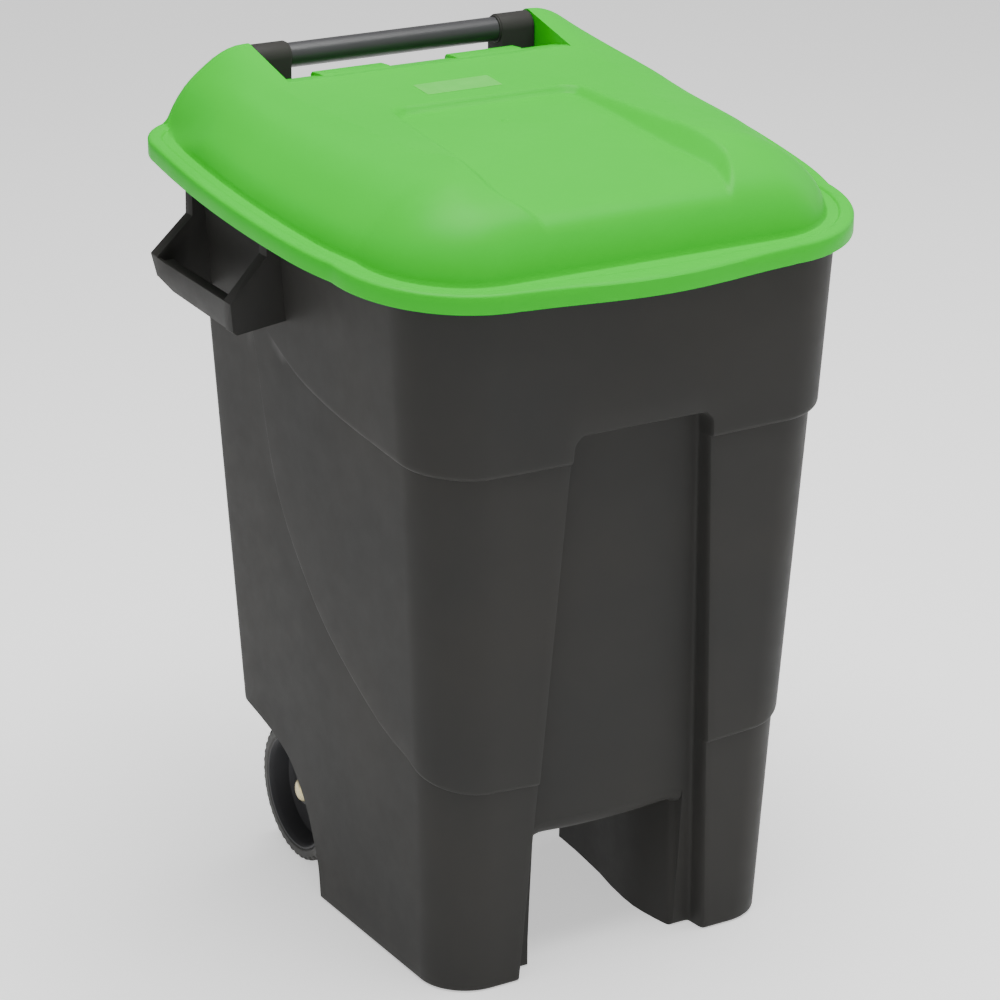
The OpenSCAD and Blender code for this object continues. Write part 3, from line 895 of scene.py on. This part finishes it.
class Shader:
    """A Principled material and the few nodes that these finishes need."""

    def __init__(self, name):
        self.material = bpy.data.materials.new(name)
        self.material.use_nodes = True
        self.tree = self.material.node_tree
        self.bsdf = self.tree.nodes["Principled BSDF"]
        self.coord = self.tree.nodes.new("ShaderNodeTexCoord").outputs["Object"]

    def set(self, **values):
        for key, value in values.items():
            self.bsdf.inputs[key.replace("_", " ")].default_value = value

    def noise(self, scale, detail=2.0, rough=0.5, stretch=None):
        node = self.tree.nodes.new("ShaderNodeTexNoise")
        node.inputs["Scale"].default_value = scale
        node.inputs["Detail"].default_value = detail
        node.inputs["Roughness"].default_value = rough
        source = self.coord
        if stretch:
            mapping = self.tree.nodes.new("ShaderNodeMapping")
            mapping.inputs["Scale"].default_value = stretch
            self.tree.links.new(source, mapping.inputs["Vector"])
            source = mapping.outputs["Vector"]
        self.tree.links.new(source, node.inputs["Vector"])
        return node.outputs["Fac"]

    def remap(self, value, low, high, to_low, to_high):
        node = self.tree.nodes.new("ShaderNodeMapRange")
        for key, v in (("From Min", low), ("From Max", high), ("To Min", to_low), ("To Max", to_high)):
            node.inputs[key].default_value = v
        self.tree.links.new(value, node.inputs["Value"])
        return node.outputs["Result"]

    def mix(self, factor, a, b):
        node = self.tree.nodes.new("ShaderNodeMix")
        node.data_type = "RGBA"
        self.tree.links.new(factor, node.inputs["Factor"])
        for key, v in (("A", a), ("B", b)):
            socket = [i for i in node.inputs if i.name == key and i.type == "RGBA"][0]
            if isinstance(v, bpy.types.NodeSocket):
                self.tree.links.new(v, socket)
            else:
                socket.default_value = (*v, 1)
        return [o for o in node.outputs if o.type == "RGBA"][0]

    def link(self, output, key):
        self.tree.links.new(output, self.bsdf.inputs[key])

    def bump(self, heights):
        """Bumps from (height output, distance in mm, strength)."""
        normal = None
        for height, distance, strength in heights:
            node = self.tree.nodes.new("ShaderNodeBump")
            node.inputs["Distance"].default_value = distance * MM
            node.inputs["Strength"].default_value = strength
            self.tree.links.new(height, node.inputs["Height"])
            if normal:
                self.tree.links.new(normal, node.inputs["Normal"])
            normal = node.outputs["Normal"]
        self.link(normal, "Normal")


def srgb(r, g, b):
    return tuple(c / 255 / 12.92 if c <= 10 else ((c / 255 + 0.055) / 1.055) ** 2.4 for c in (r, g, b))


def plastic(name, dark, light, rough, grain_mm, grain_depth, waviness, gloss):
    """Moulded plastic: two close colours in soft clouds, a fine grain and slight waviness."""
    s = Shader(name)
    cloud = s.noise(5, 3, 0.55)
    s.link(s.mix(s.remap(cloud, 0.3, 0.7, 0, 1), dark, light), "Base Color")
    scuff = s.noise(38, 4, 0.65)
    s.link(s.remap(scuff, 0.3, 0.7, rough - 0.035, rough + 0.045), "Roughness")
    s.set(Specular_IOR_Level=gloss)
    grain = s.noise(1000 / grain_mm, 2, 0.6)
    heights = [(grain, grain_depth, 0.5)]
    if waviness:
        heights.append((s.noise(9, 1, 0.4), waviness, 0.35))
    s.bump(heights)
    return s.material


def film_material():
    """Thin matt film: paler than the lid that shows through it."""
    s = Shader("label_film")
    s.link(s.mix(s.remap(s.noise(60, 3), 0.3, 0.7, 0, 1), srgb(66, 188, 56), srgb(76, 193, 64)), "Base Color")
    s.link(s.remap(s.noise(90, 2), 0.3, 0.7, 0.42, 0.5), "Roughness")
    s.set(Specular_IOR_Level=0.2)
    s.bump([(s.noise(300, 2), 0.02, 0.3)])
    return s.material


def rubber_material():
    """Solid tyre: matt, faintly dusty, with a fine texture."""
    s = Shader("tyre_rubber")
    dust = s.remap(s.noise(45, 5, 0.65), 0.35, 0.75, 0, 1)
    s.link(s.mix(dust, srgb(52, 52, 51), srgb(66, 65, 62)), "Base Color")
    s.link(s.remap(s.noise(70, 4), 0.3, 0.7, 0.58, 0.72), "Roughness")
    s.bump([(s.noise(900, 2), 0.05, 0.5)])
    return s.material


def metal_material(name, colour, tint, rough, stretch=(1, 1, 1)):
    """Metal with fine drawn or pressed marks."""
    s = Shader(name)
    marks = s.noise(160, 4, 0.6, stretch)
    s.link(s.mix(s.remap(marks, 0.35, 0.65, 0, 1), colour, tint), "Base Color")
    s.link(s.remap(marks, 0.3, 0.7, rough - 0.06, rough + 0.08), "Roughness")
    s.set(Metallic=1.0)
    s.bump([(marks, 0.02, 0.4)])
    return s.material


MATERIALS = {
    "tub_plastic": plastic("tub_plastic", srgb(50, 50, 49), srgb(54, 53, 51), 0.5, 1.1, 0.05, 0.12, 0.07),
    "bar_plastic": plastic("bar_plastic", srgb(50, 50, 52), srgb(54, 54, 56), 0.38, 1.5, 0.02, 0, 0.45),
    "trim_plastic": plastic("trim_plastic", srgb(38, 38, 38), srgb(44, 44, 44), 0.45, 1.2, 0.04, 0, 0.4),
    "lid_plastic": plastic("lid_plastic", srgb(24, 184, 26), srgb(30, 189, 31), 0.42, 1.6, 0.03, 0.2, 0.1),
    "label_film": film_material(),
    "axle_steel": metal_material("axle_steel", srgb(150, 150, 152), srgb(172, 172, 172), 0.34, (0.1, 1, 1)),
    "washer_steel": metal_material("washer_steel", srgb(158, 158, 156), srgb(176, 175, 170), 0.36),
    "washer_dark": metal_material("washer_dark", srgb(40, 40, 42), srgb(54, 53, 52), 0.4),
    "cap_brass": metal_material("cap_brass", srgb(186, 172, 128), srgb(205, 195, 158), 0.3),
    "rim_plastic": plastic("rim_plastic", srgb(47, 47, 49), srgb(51, 51, 53), 0.48, 1.2, 0.04, 0, 0.2),
    "tyre_rubber": rubber_material(),
}


# ---- Put the bin together ----

def piece(obj, body, slot, replaces=None):
    obj.data.materials.clear()
    obj.data.materials.append(MATERIALS[slot])
    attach(obj, body)
    if replaces:
        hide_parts(replaces)
    return obj


def pair(obj, name, body, slot, replaces=None):
    """A right-hand piece and its mirror image on the left."""
    obj.name = name + "_right"
    left = mirrored(obj, name + "_left")
    for side, o in (("right", obj), ("left", left)):
        home = body + "_" + side if body == "wheel" else body
        piece(o, home, slot, replaces + "_" + side if replaces else None)


piece(build_tub(), "bin", "tub_plastic", "tub")
pair(build_grip(), "side_grip", "bin", "tub_plastic")
pair(build_arm(), "bar_arm", "bin", "tub_plastic")
pair(build_rib(), "axle_rib", "bin", "tub_plastic")
pair(build_lug(), "bag_lug", "bin", "tub_plastic")
piece(build_lid(), "lid", "lid_plastic", "lid")
pair(build_lid_tab(37, 115, "lid_tab"), "lid_tab", "lid", "lid_plastic")
piece(build_label(), "lid", "label_film", "lid_label")
piece(build_gate(), "lid", "lid_plastic")
pair(build_tyre(), "tyre_tread", "wheel", "tyre_rubber", "tyre")
pair(build_rim(), "wheel_dish", "wheel", "rim_plastic", "wheel_rim")
pair(build_cap(), "cap_dome", "bin", "cap_brass", "axle_cap")

slots = {entry["node"]: entry["material_slot"] for entry in frame["record"]["subparts"]}
for node_name, node in frame["nodes"].items():
    node.data.materials.clear()
    node.data.materials.append(MATERIALS[slots[node_name]])

# ---- Floor, light and camera ----


def build_floor():
    """A wide pale floor with a faint glow of its own, so that it stays pale far from the lamps."""
    verts = [(x, y, 0) for x in (-9000, 9000) for y in (-9000, 9000)]
    floor = new_object("floor", verts, [[0, 2, 3, 1]])
    s = Shader("floor_paper")
    s.link(s.mix(s.noise(3, 2), (0.86, 0.86, 0.86), (0.88, 0.88, 0.88)), "Base Color")
    s.set(Roughness=0.9, Emission_Color=(1, 1, 1, 1), Emission_Strength=0.7)
    floor.data.materials.append(s.material)


def area_light(name, place, target, size, watts, colour=(1, 1, 1)):
    data = bpy.data.lights.new(name, "AREA")
    data.shape = "RECTANGLE"
    data.size, data.size_y = size
    data.energy = watts
    data.color = colour
    light = bpy.data.objects.new(name, data)
    light.location = place
    light.rotation_euler = (Vector(target) - Vector(place)).to_track_quat("-Z", "Y").to_euler()
    bpy.context.scene.collection.objects.link(light)


def build_camera():
    azimuth, elevation = math.radians(-30.8), math.radians(20)
    target = Vector((0.07515, 0.1635, 0.3572))
    back = Vector((math.sin(azimuth) * math.cos(elevation), -math.cos(azimuth) * math.cos(elevation),
                   math.sin(elevation)))
    data = bpy.data.cameras.new("camera")
    data.sensor_width = 36
    data.lens = 125.39
    data.clip_end = 100
    camera = bpy.data.objects.new("camera", data)
    camera.location = target + back * 3.6378
    camera.rotation_euler = (-back).to_track_quat("-Z", "Y").to_euler()
    bpy.context.scene.collection.objects.link(camera)
    bpy.context.scene.camera = camera


build_floor()
middle = (0, 0, 0.45)
area_light("key", (-3.4, -0.6, 2.2), middle, (2.6, 2.4), 9, (1, 0.98, 0.93))
area_light("front", (0.8, -3.8, 2.0), middle, (3.0, 2.4), 13)
area_light("side", (3.4, 0.2, 1.8), middle, (2.0, 2.4), 18)
area_light("top", (0.1, -0.3, 3.3), middle, (2.2, 2.2), 155)
world = bpy.data.worlds.new("studio")
world.use_nodes = True
world.node_tree.nodes["Background"].inputs["Color"].default_value = (1, 1, 1, 1)
world.node_tree.nodes["Background"].inputs["Strength"].default_value = 0.35
bpy.context.scene.world = world
build_camera()
